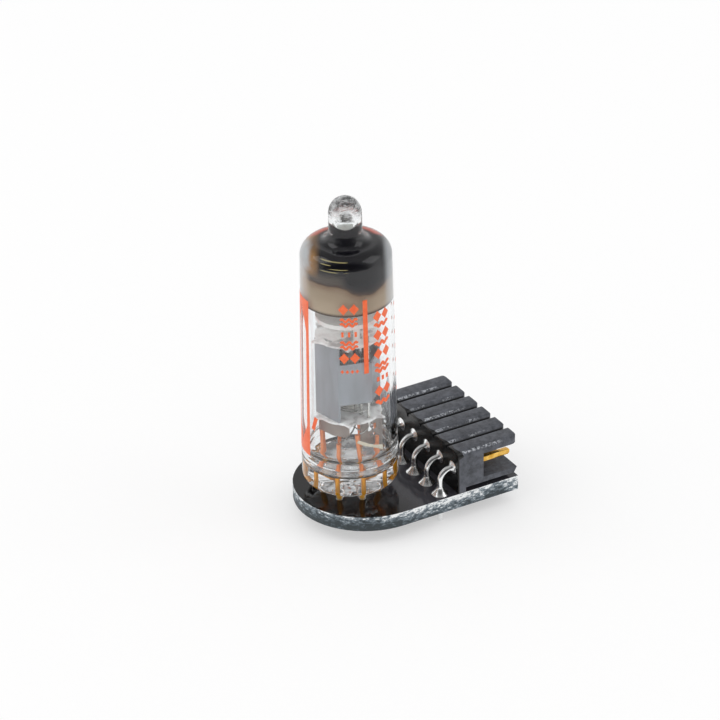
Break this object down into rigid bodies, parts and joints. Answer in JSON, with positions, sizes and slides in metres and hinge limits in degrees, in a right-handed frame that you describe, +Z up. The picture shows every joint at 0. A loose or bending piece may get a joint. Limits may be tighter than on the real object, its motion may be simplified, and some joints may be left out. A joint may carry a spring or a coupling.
{
  "type": "vacuum tube",
  "caption": "Subminiature glass vacuum tube standing on a round-ended carrier board with a right-angle plug header.",
  "frame": {"origin": "the board's underside on the tube's axis", "axes": "+Z up the tube, +X out of the header's mating slot, Y along the row of pins"},
  "size_m": [0.0211, 0.015, 0.0359],
  "materials": {
    "board": "glossy solder mask",
    "moulding": "matte moulded",
    "pin": "plated, tinned tail and gold mating end",
    "solder": "bright solder",
    "glass": "clear, fire-polished",
    "lead": "copper-clad wire",
    "mica": "sprayed white",
    "grey_nickel": "dull grey coating",
    "bright_nickel": "bright sheet and wire",
    "coating": "matte white oxide"
  },
  "bodies": {
    "root": {"circuit_board": "board", "header_housing": "moulding", "header_pin_1": "pin", "header_pin_2": "pin", "header_pin_3": "pin", "header_pin_4": "pin", "header_pin_5": "pin", "header_pin_6": "pin", "header_solder_1": "solder", "header_solder_2": "solder", "header_solder_3": "solder", "header_solder_4": "solder", "header_solder_5": "solder", "header_solder_6": "solder", "glass_envelope": "glass", "glass_stem": "glass", "lead_1": "lead", "lead_2": "lead", "lead_3": "lead", "lead_4": "lead", "lead_5": "lead", "lead_6": "lead", "lead_7": "lead", "lead_8": "lead", "lead_solder_1": "solder", "lead_solder_2": "solder", "lead_solder_3": "solder", "lead_solder_4": "solder", "lead_solder_5": "solder", "lead_solder_6": "solder", "lead_solder_7": "solder", "lead_solder_8": "solder", "lower_mica": "mica", "upper_mica": "mica", "anode": "grey_nickel", "lower_shield": "grey_nickel", "upper_shield": "bright_nickel", "getter_ring": "bright_nickel", "cathode_sleeve": "coating", "heater": "coating", "control_grid": "bright_nickel", "screen_grid": "bright_nickel", "suppressor_grid": "bright_nickel", "suppressor_strap": "bright_nickel", "heater_strap_1": "bright_nickel", "heater_strap_2": "bright_nickel", "control_strap": "bright_nickel", "screen_strap": "bright_nickel"}
  },
  "joints": []
}
